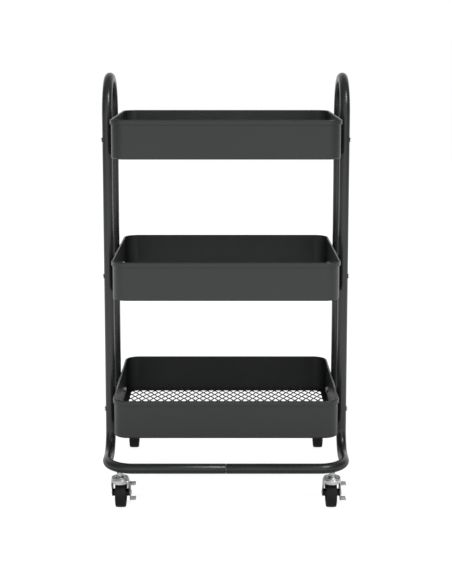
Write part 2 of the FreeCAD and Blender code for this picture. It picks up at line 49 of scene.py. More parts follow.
MM = 0.001
HAS_BRAKE = {"front_left": True, "front_right": True, "rear_left": False, "rear_right": False}
TIERS = ("top", "middle", "bottom")
X_AXIS, Y_AXIS, Z_AXIS = Vector((1, 0, 0)), Vector((0, 1, 0)), Vector((0, 0, 1))


def middle(node):
    """The centre of a CAD node's box."""
    low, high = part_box(node)
    return (low + high) / 2


# The side frames.
frame_low, frame_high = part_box("left_side_frame")
MID_Y = middle("top_basket").y
TUBE = 17 * MM
LEG_X = -frame_low.x - TUBE / 2
BASE_Y = frame_high.y - MID_Y - TUBE / 2
BASE_Z = frame_low.z + TUBE / 2
HANDLE_Z = frame_high.z - TUBE / 2
PLAN_BEND = 46 * MM
LEG_BEND = 40 * MM
BASE_RUN = 19.5 * MM
LEG_Y = BASE_Y - PLAN_BEND - BASE_RUN - LEG_BEND
JOINT_GAP = 0.15 * MM

# The baskets and what fastens them.
basket_low, basket_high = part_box("top_basket")
HEM_OUT = 2 * MM
HEM_TALL = 8.2 * MM
SHEET = 1 * MM
FLANGE = 9 * MM
WALL_X = basket_high.x - HEM_OUT
WALL_Y = basket_high.y - MID_Y - HEM_OUT
WALL_TALL = basket_high.z - basket_low.z
CORNER_RADIUS = 24 * MM
HEAD_DIA, HEAD_TALL = 8.4 * MM, 2.2 * MM
SPACER_DIA = 10 * MM
NUT_ACROSS, NUT_TALL = 8 * MM, 4 * MM

# The casters. The tread is drawn in a little from the sides of the solid wheel.
TRAIL = 17 * MM
WHEEL_DIA, WHEEL_WIDTH = 50 * MM, 19 * MM
TREAD_HALF = WHEEL_WIDTH / 2 - 0.6 * MM
RIM_DIA, HUB_DIA = 37 * MM, 12 * MM
FORK_WIDTH, FORK_SHEET = 29.4 * MM, 1.8 * MM
CROWN_DIA, CROWN_LOW, CROWN_TALL = 29.4 * MM, 51.5 * MM, 4 * MM
CROWN_HOLE = 6.2 * MM
SKIRT_DEEP, SKIRT_SHEET, SKIRT_TURN = 3.3 * MM, 1.2 * MM, 128
PIN_DIA, RIVET_DIA = 6 * MM, 9 * MM
HEX_ACROSS, HEX_CORNERS = 10 * MM, 10.8 * MM
STEM_DIA, STEM_TALL = 7.8 * MM, 12 * MM
RACE_DIA, RACE_TALL, RACE_GAP = 28.6 * MM, 2 * MM, 0.4 * MM
AXLE_DIA = 6 * MM
AXLE_Z = WHEEL_DIA / 2
FORK_END, FORK_TANGENT = 6.5 * MM, AXLE_Z + 2.7 * MM
FORK_WAIST = CROWN_LOW - 2 * FORK_SHEET
FORK_FRONT, FORK_BACK, FORK_SWELL = 10 * MM, 13 * MM, 0.9 * MM
LEVER_GAP, LEVER_SHEET = 0.3 * MM, 1.5 * MM
LEVER_WIDE, LEVER_TALL, LEVER_LIFT = 11 * MM, 34 * MM, 2.5 * MM
PEDAL_REACH, PEDAL_LONG, PEDAL_SHEET, PEDAL_SPACING = 8.6 * MM, 17 * MM, 1.6 * MM, 26 * MM


# --- nodes ----------------------------------------------------------------------------------------


class Channel:
    """One output of a node, whose arithmetic adds Math nodes."""

    def __init__(self, net, socket):
        self.net = net
        self.socket = socket

    def output(self, name):
        """Another output of the same node."""
        return Channel(self.net, self.socket.node.outputs[name])

    def __add__(self, other):
        return self.net.maths("ADD", self, other)

    def __radd__(self, other):
        return self.net.maths("ADD", other, self)

    def __sub__(self, other):
        return self.net.maths("SUBTRACT", self, other)

    def __rsub__(self, other):
        return self.net.maths("SUBTRACT", other, self)

    def __mul__(self, other):
        return self.net.maths("MULTIPLY", self, other)

    def __rmul__(self, other):
        return self.net.maths("MULTIPLY", other, self)

    def __truediv__(self, other):
        return self.net.maths("DIVIDE", self, other)

    def __rtruediv__(self, other):
        return self.net.maths("DIVIDE", other, self)

    def __mod__(self, other):
        return self.net.maths("FLOORED_MODULO", self, other)

    def __rmod__(self, other):
        return self.net.maths("FLOORED_MODULO", other, self)

    def __pow__(self, other):
        return self.net.maths("POWER", self, other)

    def __rpow__(self, other):
        return self.net.maths("POWER", other, self)


class Net:
    """The nodes of one material, of the world or of one Geometry Nodes tree."""

    def __init__(self, tree):
        self.tree = tree

    def node(self, kind, settings=None, inputs=None, output=0):
        """Adds one node, makes its settings, then sets or links its inputs, and gives one of its outputs."""
        made = self.tree.nodes.new(kind)
        for key, value in (settings or {}).items():
            setattr(made, key, value)
        for key, value in (inputs or {}).items():
            if isinstance(value, Channel):
                self.tree.links.new(value.socket, made.inputs[key])
            else:
                made.inputs[key].default_value = value
        return Channel(self, made.outputs[output]) if made.outputs else None

    def maths(self, operation, *values):
        """A Math node on one value or two."""
        return self.node("ShaderNodeMath", {"operation": operation}, dict(enumerate(values)))

    def coordinates(self):
        """The object's own coordinates."""
        return self.node("ShaderNodeTexCoord", output="Object")

    def noise(self, scale, detail=3, roughness=0.5):
        """Noise over the object's own coordinates, with its grain about 1 / scale metres wide."""
        inputs = {"Vector": self.coordinates(), "Scale": scale, "Detail": detail, "Roughness": roughness}
        return self.node("ShaderNodeTexNoise", None, inputs)

    def ramp(self, value, low, high):
        """Stretches part of a value's range to 0 .. 1."""
        inputs = {"Value": value, "From Min": low, "From Max": high}
        return self.node("ShaderNodeMapRange", None, inputs)

    def blend(self, factor, first, second):
        """Mixes two colours."""
        inputs = {0: factor, 6: (*first, 1) if isinstance(first, tuple) else first, 7: (*second, 1)}
        return self.node("ShaderNodeMix", {"data_type": "RGBA"}, inputs, 2)

    def bump(self, height, distance, strength):
        """A fine relief of the surface's shading."""
        inputs = {"Height": height, "Distance": distance, "Strength": strength}
        return self.node("ShaderNodeBump", None, inputs)


def finish_of(name, looks, fixed=None):
    """A material on one Principled shader. Fixed sets plain values, and looks(net) gives what varies."""
    material = bpy.data.materials.new(name)
    material.use_nodes = True
    shader = material.node_tree.nodes["Principled BSDF"]
    for key, value in (fixed or {}).items():
        shader.inputs[key].default_value = value
    net = Net(material.node_tree)
    for key, value in looks(net).items():
        material.node_tree.links.new(value.socket, shader.inputs[key])
    return material


# --- materials ------------------------------------------------------------------------------------

# Noise scales: one over the width of a grain in metres.
PATCH_SCALE, PEEL_SCALE, SPECKLE_SCALE = 14, 900, 5200
CLOUD_SCALE, DRAWN_SCALE, BLACK_LINE_SCALE, SHEEN_SCALE = 220, 2600, 90, 60
# Below this height the fork's zinc turns black, over a short wavy fade.
BLACK_LINE_FADE = 1.2 * MM
FORK_BLACK_BELOW = 36.5 * MM


def powder_coat(name, dark, light, satin=0.30, grain=1.0):
    """Satin powder coat: a fine orange-peel skin, faint patches and a little spread in its gloss."""

    def looks(net):
        patches = net.ramp(net.noise(PATCH_SCALE, 4), 0.35, 0.65)
        skin = net.noise(PEEL_SCALE, 2, 0.6)
        speckle = net.noise(SPECKLE_SCALE, 1)
        return {
            "Base Color": net.blend(patches * 0.6 + speckle * 0.4, dark, light),
            "Roughness": satin + patches * 0.05 + skin * 0.06,
            "Normal": net.bump(skin * 0.75 + speckle * 0.25, 0.10 * MM * grain, 0.5),
        }

    return finish_of(name, looks, {"Specular IOR Level": 0.6})


def zinc_plate(name, dark, light):
    """Bright zinc plating with a soft drawn grain and small cloudy patches."""

    def looks(net):
        clouds = net.ramp(net.noise(CLOUD_SCALE, 4), 0.3, 0.7)
        grain = net.noise(DRAWN_SCALE, 2)
        return {
            "Base Color": net.blend(clouds, dark, light),
            "Roughness": 0.22 + clouds * 0.14 + grain * 0.06,
            "Normal": net.bump(grain, 0.03 * MM, 0.5),
        }

    return finish_of(name, looks, {"Metallic": 1.0})


def zinc_black_below(name, dark, light, black, black_height):
    """Zinc plating that turns black and not metallic below a given height, along a slightly wavy line."""

    def looks(net):
        clouds = net.ramp(net.noise(CLOUD_SCALE, 4), 0.3, 0.7)
        height = net.node("ShaderNodeSeparateXYZ", None, {0: net.coordinates()}, "Z")
        zinc_share = net.ramp(height + net.noise(BLACK_LINE_SCALE, 2) * 0.6 * MM, black_height, black_height + BLACK_LINE_FADE)
        plated = net.blend(clouds, dark, light)
        return {
            "Base Color": net.blend(1 - zinc_share, plated, black),
            "Metallic": zinc_share,
            "Roughness": 0.40 - zinc_share * 0.08 + clouds * 0.12,
            "Normal": net.bump(net.noise(DRAWN_SCALE, 2), 0.03 * MM, 0.5),
        }

    return finish_of(name, looks)


def moulded(name, dark, light, roughness, pit_scale):
    """Moulded plastic or rubber: a matt skin of fine pits with a slightly uneven sheen."""

    def looks(net):
        pits = net.noise(pit_scale, 3, 0.6)
        patches = net.ramp(net.noise(SHEEN_SCALE, 3), 0.35, 0.65)
        return {
            "Base Color": net.blend(patches * 0.5 + pits * 0.5, dark, light),
            "Roughness": roughness + patches * 0.08,
            "Normal": net.bump(pits, 0.08 * MM, 0.6),
        }

    return finish_of(name, looks, {"Specular IOR Level": 0.3})


TUBE_COAT = powder_coat(
    "anthracite_tube_coat", (0.0142, 0.0166, 0.0156), (0.0200, 0.0234, 0.0220), satin=0.24, grain=0.3
)
BASKET_COAT = powder_coat("anthracite_basket_coat", (0.0134, 0.0157, 0.0147), (0.0190, 0.0222, 0.0208))
MESH_COAT = powder_coat(
    "anthracite_mesh_coat", (0.0145, 0.0170, 0.0159), (0.0206, 0.0241, 0.0226), grain=1.4
)
BRIGHT_ZINC = zinc_plate("bright_zinc_plate", (0.66, 0.67, 0.69), (0.86, 0.87, 0.88))
LEVER_ZINC = zinc_plate("lever_zinc_plate", (0.50, 0.51, 0.52), (0.68, 0.69, 0.70))
FORK_PLATE = zinc_black_below(
    "fork_plate", (0.80, 0.81, 0.83), (0.94, 0.95, 0.96), black=(0.006, 0.006, 0.006), black_height=FORK_BLACK_BELOW
)
TREAD_RUBBER = moulded("tread_rubber", (0.008, 0.008, 0.008), (0.018, 0.018, 0.018), 0.55, 1500)
HUB_PLASTIC = moulded("black_hub_plastic", (0.003, 0.003, 0.003), (0.008, 0.008, 0.008), 0.42, 2200)
SPACER_NYLON = moulded("black_spacer_nylon", (0.012, 0.012, 0.012), (0.024, 0.024, 0.024), 0.45, 1800)
PEDAL_PLASTIC = moulded("grey_pedal_plastic", (0.56, 0.56, 0.565), (0.68, 0.68, 0.685), 0.5, 1500)


# --- mesh making ----------------------------------------------------------------------------------


MERGE_WITHIN, SLIVER_WITHIN = 0.005 * MM, 0.002 * MM
SHARP_ANGLE = math.radians(32)


def shaded(mesh):
    """The same mesh, shaded smooth but for its sharp edges."""
    mesh.polygons.foreach_set("use_smooth", [True] * len(mesh.polygons))
    mesh.set_sharp_from_angle(angle=SHARP_ANGLE)
    return mesh


def mesh_from(name, points, faces):
    """A closed mesh with outward faces, merged where its points meet."""
    mesh = bpy.data.meshes.new(name)
    mesh.from_pydata([tuple(point) for point in points], [], faces)
    work = bmesh.new()
    work.from_mesh(mesh)
    bmesh.ops.remove_doubles(work, verts=work.verts, dist=MERGE_WITHIN)
    bmesh.ops.dissolve_degenerate(work, edges=work.edges, dist=SLIVER_WITHIN)
    bmesh.ops.recalc_face_normals(work, faces=work.faces)
    work.to_mesh(mesh)
    work.free()
    return shaded(mesh)


def show(name, mesh, body, material, replaced=(), even_shading=False):
    """Makes an object of a mesh and hands it to its body."""
    thing = bpy.data.objects.new(name, mesh)
    bpy.context.scene.collection.objects.link(thing)
    mesh.materials.clear()
    mesh.materials.append(material)
    if even_shading:
        normals = thing.modifiers.new("even_shading", "WEIGHTED_NORMAL")
        normals.keep_sharp = True
        normals.weight = 100
    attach(thing, body)
    if replaced:
        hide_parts(*replaced)
    return thing


def arc(centre, radius, start, end, steps=5):
    """Points of a plane arc, with its angles in degrees."""
    turns = [math.radians(start + (end - start) * i / steps) for i in range(steps + 1)]
    return [(centre[0] + radius * math.cos(turn), centre[1] + radius * math.sin(turn)) for turn in turns]


def turned(profile, steps=48, closed=False):
    """A shape turned about Z, from (radius, height) points. A radius may be a function of the turn."""
    points, rings = [], []
    for radius, height in profile:
        if radius == 0:
            rings.append([len(points)] * steps)
            points.append(Vector((0, 0, height)))
            continue
        rings.append(range(len(points), len(points) + steps))
        for i in range(steps):
            turn = math.tau * i / steps
            reach = radius(turn) if callable(radius) else radius
            points.append(Vector((reach * math.cos(turn), reach * math.sin(turn), height)))
    faces = []
    pairs = list(zip(rings, rings[1:]))
    if closed:
        pairs.append((rings[-1], rings[0]))
    for low, high in pairs:
        for i in range(steps):
            j = (i + 1) % steps
            corners = [low[i], low[j], high[j], high[i]]
            faces.append(list(dict.fromkeys(corners)))
    return points, faces


def six_sided(across, limit=1.0):
    """A hexagon's radius at a turn, cut back to a round limit."""
    sixth = math.pi / 3
    return lambda turn: min(across / 2 / math.cos((turn + sixth / 2) % sixth - sixth / 2), limit)


def moved(points, origin, axis=Z_AXIS):
    """Points turned so that Z becomes the axis, then moved to the origin."""
    turn = Z_AXIS.rotation_difference(axis).to_matrix()
    return [turn @ point + Vector(origin) for point in points]


def joined(*parts):
    """One point list and one face list from several."""
    points, faces = [], []
    for part_points, part_faces in parts:
        start = len(points)
        points += part_points
        faces += [[start + i for i in face] for face in part_faces]
    return points, faces


def lofted(rows):
    """A closed skin over rows of equally many points, capped at the first row and the last."""
    count = len(rows[0])
    faces = []
    for row in range(len(rows) - 1):
        for i in range(count):
            j = (i + 1) % count
            faces.append([row * count + i, row * count + j, (row + 1) * count + j, (row + 1) * count + i])
    faces.append(list(range(count)))
    faces.append([(len(rows) - 1) * count + i for i in reversed(range(count))])
    return [point for row in rows for point in row], faces


def ring_round(half_x, half_y, radius, profile, steps=14):
    """A profile of (outward, height) points swept round a rectangle with round corners."""
    points = []
    for quarter, (side_x, side_y) in enumerate([(1, 1), (-1, 1), (-1, -1), (1, -1)]):
        for i in range(steps + 1):
            turn = math.pi / 2 * (quarter + i / steps)
            for out, height in profile:
                x = side_x * (half_x - radius) + math.cos(turn) * (radius + out)
                y = side_y * (half_y - radius) + math.sin(turn) * (radius + out)
                points.append(Vector((x, y + MID_Y, height)))
    count, stations = len(profile), 4 * (steps + 1)
    faces = []
    for station in range(stations):
        after = (station + 1) % stations
        for i in range(count):
            j = (i + 1) % count
            faces.append([station * count + i, after * count + i, after * count + j, station * count + j])
    return points, faces


def slab(outline, low, high, bevel):
    """A flat plate: an outline of (y, z) points, spread from one x to another, with its edges eased."""
    centre = Vector((sum(y for y, _ in outline), sum(z for _, z in outline))) / len(outline)
    rows = []
    for x, eased in ((low, True), (low + bevel, False), (high - bevel, False), (high, True)):
        row = []
        for point in outline:
            away = Vector(point) - centre
            if eased:
                away *= 1 - bevel / max(away.length, bevel)
            row.append(Vector((x, centre.x + away.x, centre.y + away.y)))
        rows.append(row)
    return lofted(rows)


# --- Geometry Nodes -------------------------------------------------------------------------------


def new_tree(name, inputs):
    """An empty Geometry Nodes tree with named inputs, and the channel of each input."""
    tree = bpy.data.node_groups.new(name, "GeometryNodeTree")
    tree.interface.new_socket("Geometry", in_out="OUTPUT", socket_type="NodeSocketGeometry")
    tree.interface.new_socket("Geometry", in_out="INPUT", socket_type="NodeSocketGeometry")
    for label, kind in inputs.items():
        tree.interface.new_socket(label, in_out="INPUT", socket_type=f"NodeSocket{kind}")
    net = Net(tree)
    start = tree.nodes.new("NodeGroupInput")
    channels = {socket.name: Channel(net, socket) for socket in start.outputs if socket.name}
    return net, channels


def close_tree(net, geometry, material):
    """Ends a tree in Realize Instances and Set Material."""
    real = net.node("GeometryNodeRealizeInstances", None, {"Geometry": geometry})
    dressed = net.node("GeometryNodeSetMaterial", None, {"Geometry": real, "Material": material})
    net.node("NodeGroupOutput", None, {"Geometry": dressed})
    return net.tree


def grown(name, source, tree, values):
    """The plain mesh that a tree makes of an object, which is removed."""
    modifier = source.modifiers.new(name, "NODES")
    modifier.node_group = tree
    for item in tree.interface.items_tree:
        if item.in_out == "INPUT" and item.name in values:
            modifier[item.identifier] = values[item.name]
    depsgraph = bpy.context.evaluated_depsgraph_get()
    mesh = bpy.data.meshes.new_from_object(source.evaluated_get(depsgraph), depsgraph=depsgraph)
    mesh.name = name
    source.modifiers.remove(modifier)
    bpy.data.objects.remove(source)
    return mesh


def loose(name, data):
    """A helper object that never becomes a piece."""
    thing = bpy.data.objects.new(name, data)
    bpy.context.scene.collection.objects.link(thing)
    return thing


def tube_tree():
    """A round tube along a curve, closed at both ends, as wide as the curve's own radius says."""
    net, given = new_tree("bent_tube", {"Tube Radius": "Float", "Tube Sides": "Int", "Material": "Material"})
    inputs = {"Radius": given["Tube Radius"], "Resolution": given["Tube Sides"]}
    ring = net.node("GeometryNodeCurvePrimitiveCircle", None, inputs)
    width = net.node("GeometryNodeInputRadius")
    inputs = {"Curve": given["Geometry"], "Profile Curve": ring, "Scale": width, "Fill Caps": True}
    return close_tree(net, net.node("GeometryNodeCurveToMesh", None, inputs), given["Material"])


def fastener_tree():
    """One copy of a fastener on each point, with its top turned to the way that the point faces."""
    net, given = new_tree("set_of_fasteners", {"Fastener": "Object", "Material": "Material"})
    shape = net.node("GeometryNodeObjectInfo", None, {"Object": given["Fastener"]}, "Geometry")
    facing = net.node("GeometryNodeInputNamedAttribute", {"data_type": "FLOAT_VECTOR"}, {"Name": "facing"})
    turn = net.node("FunctionNodeAlignRotationToVector", {"axis": "Z"}, {"Vector": facing})
    inputs = {"Points": given["Geometry"], "Instance": shape, "Rotation": turn}
    copies = net.node("GeometryNodeInstanceOnPoints", None, inputs)
    return close_tree(net, copies, given["Material"])


BOND_SHARE = 0.8


def lattice_tree():
    """Expanded metal: strands that zigzag along Y, meet at short bonds and end on a rounded rectangle."""
    sizes = ["Strand Spacing", "Cell Length", "Bond Length", "Strand Width", "Sheet", "Relief"]
    sizes += ["Half Width", "Half Depth", "Corner Radius"]
    inputs = {"Strand Count": "Int", "Bond Count": "Int", "Material": "Material"}
    net, given = new_tree("expanded_metal", {**{label: "Float" for label in sizes}, **inputs})
    spots = given["Bond Count"] * 2
    line = net.node("GeometryNodeMeshLine", None, {"Count": spots})
    strand = net.node("GeometryNodeMeshToCurve", None, {"Mesh": line})
    places = net.node("GeometryNodeMeshLine", None, {"Count": given["Strand Count"]})
    copies = net.node("GeometryNodeInstanceOnPoints", None, {"Points": places, "Instance": strand})
    real = net.node("GeometryNodeRealizeInstances", None, {"Geometry": copies})
    index = net.node("GeometryNodeInputIndex")
    spot = index % spots
    number = (index - spot) / spots
    second = spot % 2
    bond = (spot - second) / 2
    side = ((number + bond) % 2) * 2 - 1
    swing = (given["Strand Spacing"] - given["Strand Width"] * BOND_SHARE) / 2
    x = (number - (given["Strand Count"] - 1) / 2) * given["Strand Spacing"] + side * swing
    bond_y = (bond - (given["Bond Count"] - 1) / 2) * given["Cell Length"] / 2
    y = bond_y + (second - 0.5) * given["Bond Length"]
    z = side * given["Relief"] * 0.5
    round_from = given["Half Width"] - given["Corner Radius"]
    beside = net.maths("MAXIMUM", net.maths("ABSOLUTE", x) - round_from, 0)
    reach = given["Half Depth"] - given["Corner Radius"] + (given["Corner Radius"] ** 2 - beside**2) ** 0.5
    y = net.maths("MAXIMUM", net.maths("MINIMUM", y, reach), 0 - reach)
    place = net.node("ShaderNodeCombineXYZ", None, {"X": x, "Y": y, "Z": z})
    bent = net.node("GeometryNodeSetPosition", None, {"Geometry": real, "Position": place})
    inputs = {"Width": given["Strand Width"], "Height": given["Sheet"]}
    section = net.node("GeometryNodeCurvePrimitiveQuadrilateral", None, inputs)
    inputs = {"Curve": bent, "Profile Curve": section, "Fill Caps": True}
    return close_tree(net, net.node("GeometryNodeCurveToMesh", None, inputs), given["Material"])


FASTENER_TREE = fastener_tree()


def fasteners(name, shape, places, material):
    """The mesh of one fastener repeated at (place, facing) pairs."""
    points = bpy.data.meshes.new(f"{name}_points")
    points.from_pydata([tuple(place) for place, _ in places], [], [])
    facing = points.attributes.new("facing", "FLOAT_VECTOR", "POINT")
    facing.data.foreach_set("vector", [value for _, way in places for value in way])
    pattern = loose(f"{name}_pattern", mesh_from(f"{name}_pattern", *shape))
    values = {"Fastener": pattern, "Material": material}
    mesh = grown(name, loose(f"{name}_places", points), FASTENER_TREE, values)
    bpy.data.objects.remove(pattern)
    return mesh


# --- side frames ----------------------------------------------------------------------------------


LIP_LONG, LIP_SCALE = 0.5 * MM, 0.965
TUBE_SIDES = 40


def quarter_bend(centre, radius, start, end, steps=16):
    """Points of a quarter circle, from one direction to another."""
    turns = [math.pi / 2 * i / steps for i in range(steps + 1)]
    return [centre + start * (radius * math.cos(turn)) + end * (radius * math.sin(turn)) for turn in turns]


def tube_line(side):
    """The centreline of one side frame's tube, from the front joint over the handle to the rear joint."""
    corner = Vector((PLAN_BEND - LEG_X, PLAN_BEND - BASE_Y, BASE_Z))
    foot = Vector((-LEG_X, -LEG_Y - LEG_BEND, BASE_Z + LEG_BEND))
    handle = Vector((-LEG_X, 0, HANDLE_Z - LEG_Y))
    front = [Vector((-JOINT_GAP, -BASE_Y, BASE_Z)), Vector((-JOINT_GAP - LIP_LONG, -BASE_Y, BASE_Z))]
    front += quarter_bend(corner, PLAN_BEND, -Y_AXIS, -X_AXIS)
    front += quarter_bend(foot, LEG_BEND, -Z_AXIS, Y_AXIS)
    front += quarter_bend(handle, LEG_Y, -Y_AXIS, Z_AXIS, 32)
    rear = [Vector((point.x, -point.y, point.z)) for point in front[-2::-1]]
    return [Vector((-side * point.x, point.y + MID_Y, point.z)) for point in front + rear]


def side_frame(name, side, tree):
    """A bent tube with a softly rounded lip where it butts against the other side frame."""
    line = tube_line(side)
    curve = bpy.data.curves.new(name, "CURVE")
    curve.dimensions = "3D"
    spline = curve.splines.new("POLY")
    spline.points.add(len(line) - 1)
    for point, place in zip(spline.points, line):
        point.co = (*place, 1)
    for end in (0, -1):
        spline.points[end].radius = LIP_SCALE
    values = {"Tube Radius": TUBE / 2, "Tube Sides": TUBE_SIDES, "Material": TUBE_COAT}
    mesh = shaded(grown(name, loose(f"{name}_line", curve), tree, values))
    show(f"{name}_tube", mesh, "cart", TUBE_COAT, [f"{name}_side_frame"])


bent_tube = tube_tree()
side_frame("left", -1, bent_tube)
side_frame("right", 1, bent_tube)
for name in ("front_joint_sleeve", "rear_joint_sleeve"):
    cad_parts[name].data.materials.clear()
    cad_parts[name].data.materials.append(BRIGHT_ZINC)


# --- baskets --------------------------------------------------------------------------------------


def basket_profile():
    """The sheet's section: flange, bottom bend, wall and the rim rolled over outwards."""
    bend, edge = 2.5 * MM, 0.5 * MM
    hem, tucked = WALL_TALL - HEM_TALL, 1.6 * MM
    roll = (HEM_OUT + SHEET) / 2
    section = [(edge / 2 - FLANGE, 0)] + arc((-bend, bend), bend, -90, 0)
    section += [(0, hem + tucked), (0.4 * MM, hem + tucked), (0.6 * MM, hem + edge)]
    section += arc((HEM_OUT - edge, hem + edge), edge, -100, 0, 4)
    section += arc((HEM_OUT - roll, WALL_TALL - roll), roll, 0, 180, 10)
    section += arc((-bend, bend), bend - SHEET, 0, -90)
    section += [(edge / 2 - FLANGE, SHEET)]
    return section + [(-FLANGE, SHEET - edge / 2), (-FLANGE, edge / 2)]


MARGIN = 7.5 * MM


def mesh_border(low, high, radius):
    """The plain margin of a mesh floor, which lies on the basket's flange."""
    thick, edge = high.z - low.z, 0.25 * MM
    section = [(-MARGIN + edge, 0), (-edge, 0), (0, edge), (0, thick - edge), (-edge, thick)]
    section += [(-MARGIN + edge, thick), (-MARGIN, thick - edge), (-MARGIN, edge)]
    section = [(out, low.z + height) for out, height in section]
    return ring_round((high.x - low.x) / 2, (high.y - low.y) / 2, radius, section)


# The lattice is tucked into its margin. Its strands are counted over a field a little shy of the floor.
STRAND_SPACING, STRAND_WIDTH = 7.1 * MM, 2.0 * MM
CELL_LENGTH, BOND_LENGTH = 26 * MM, 1.2 * MM
LATTICE_RELIEF, LATTICE_PLAY, LATTICE_TUCK = 0.15 * MM, 0.1 * MM, 3 * MM
LATTICE_SHY_X, LATTICE_SHY_Y = 14 * MM, 9 * MM
lattice = lattice_tree()


def mesh_floor(tier):
    """An expanded-metal floor: the lattice, and the plain margin that its strands run into."""
    low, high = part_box(f"{tier}_basket_floor")
    inside_x, inside_y = high.x - low.x - LATTICE_SHY_X, high.y - low.y - LATTICE_SHY_Y
    corner = CORNER_RADIUS - SHEET
    values = {
        "Strand Spacing": STRAND_SPACING,
        "Cell Length": CELL_LENGTH,
        "Bond Length": BOND_LENGTH,
        "Strand Width": STRAND_WIDTH,
        "Sheet": high.z - low.z - LATTICE_RELIEF - LATTICE_PLAY,
        "Relief": LATTICE_RELIEF,
        "Half Width": (high.x - low.x) / 2 - LATTICE_TUCK,
        "Half Depth": (high.y - low.y) / 2 - LATTICE_TUCK,
        "Corner Radius": corner - LATTICE_TUCK,
        "Strand Count": round(inside_x / STRAND_SPACING) + 1,
        "Bond Count": round(inside_y / CELL_LENGTH * 2) + 3,
        "Material": MESH_COAT,
    }
    seed = bpy.data.meshes.new(f"{tier}_lattice_seed")
    mesh = grown(f"{tier}_lattice", loose(f"{tier}_lattice_seed", seed), lattice, values)
    mesh.transform(Matrix.Translation((0, MID_Y, (low.z + high.z) / 2)))
    show(f"{tier}_mesh_floor", mesh, "cart", MESH_COAT, [f"{tier}_basket_floor"])
    margin = mesh_from(f"{tier}_mesh_margin", *mesh_border(low, high, corner))
    show(f"{tier}_mesh_margin", margin, "cart", MESH_COAT, even_shading=True)


for tier in TIERS:
    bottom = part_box(f"{tier}_basket")[0].z
    section = [(out, bottom + height) for out, height in basket_profile()]
    wall = mesh_from(f"{tier}_wall", *ring_round(WALL_X, WALL_Y, CORNER_RADIUS, section))
    show(f"{tier}_basket_wall", wall, "cart", BASKET_COAT, [f"{tier}_basket"], True)
    mesh_floor(tier)


# --- fasteners of the baskets ---------------------------------------------------------------------


SOCKET_ACROSS, SOCKET_FLOOR, SOCKET_LAND = 2.6 * MM, 0.6 * MM, 1.9 * MM
SCREW_DIA = 5 * MM
SPACER_BORE = 5.4 * MM
FASTENER_SIDES = 24


def screw_head():
    """A button head with a hexagon socket."""
    rim, dome, ease = 0.5 * MM, HEAD_DIA / 2, 0.2 * MM
    socket = six_sided(SOCKET_ACROSS)
    profile = [(0, 0), (dome - ease, 0), (dome, ease), (dome, rim)]
    for turn in (25, 45, 60):
        angle = math.radians(turn)
        profile.append((dome * math.cos(angle) ** 0.8, rim + (HEAD_TALL - rim) * math.sin(angle)))
    profile += [(SOCKET_LAND, HEAD_TALL), (socket, HEAD_TALL - 0.05 * MM)]
    profile += [(socket, SOCKET_FLOOR + 0.1 * MM), (0, SOCKET_FLOOR)]
    return turned(profile, FASTENER_SIDES)


def hex_nut():
    """A hexagon nut with its corners eased, and a fine groove round the end of its screw."""
    ease, screw = 0.12 * NUT_ACROSS, SCREW_DIA / 2
    flats = six_sided(NUT_ACROSS)
    cut = six_sided(NUT_ACROSS, NUT_ACROSS / 2 / math.cos(math.pi / 6) - ease)
    profile = [(0, 0), (cut, 0), (flats, ease * 0.6), (flats, NUT_TALL - ease * 0.6), (cut, NUT_TALL)]
    profile += [(screw + 0.35 * MM, NUT_TALL), (screw, NUT_TALL - 0.3 * MM), (screw - 0.25 * MM, NUT_TALL)]
    return turned(profile + [(0, NUT_TALL)], FASTENER_SIDES)


def spacer(tall):
    """A plain ring with its outer edges eased."""
    edge, outer, bore = 0.5 * MM, SPACER_DIA / 2, SPACER_BORE / 2
    profile = [(bore, 0), (outer - edge, 0), (outer, edge)]
    profile += [(outer, tall - edge), (outer - edge, tall), (bore, tall)]
    return turned(profile, FASTENER_SIDES, closed=True)


def screw_spots(tier, reach, way):
    """A tier's four (place, facing) pairs at a reach from the middle. Way 1 faces out, and -1 faces in."""
    height = middle(f"{tier}_bolts").z
    sides = [(x, y) for x in (-1, 1) for y in (-1, 1)]
    return [(Vector((x * reach, y * LEG_Y + MID_Y, height)), X_AXIS * (x * way)) for x, y in sides]


LEG_FACE = LEG_X + TUBE / 2
LEG_INNER = LEG_X - TUBE / 2
for tier in TIERS:
    for name, shape, reach, way, slot, material, node in (
        ("screw_heads", screw_head(), LEG_FACE, 1, "fastener", BRIGHT_ZINC, "bolts"),
        ("spacer_rings", spacer(LEG_INNER - WALL_X), WALL_X, 1, "spacer", SPACER_NYLON, "spacers"),
        ("wall_nuts", hex_nut(), WALL_X - SHEET, -1, "fastener", BRIGHT_ZINC, "nuts"),
    ):
        four = fasteners(f"{tier}_{name}", shape, screw_spots(tier, reach, way), material)
        show(f"{tier}_{name}", four, "cart", material, [f"{tier}_{node}"])


# --- casters --------------------------------------------------------------------------------------


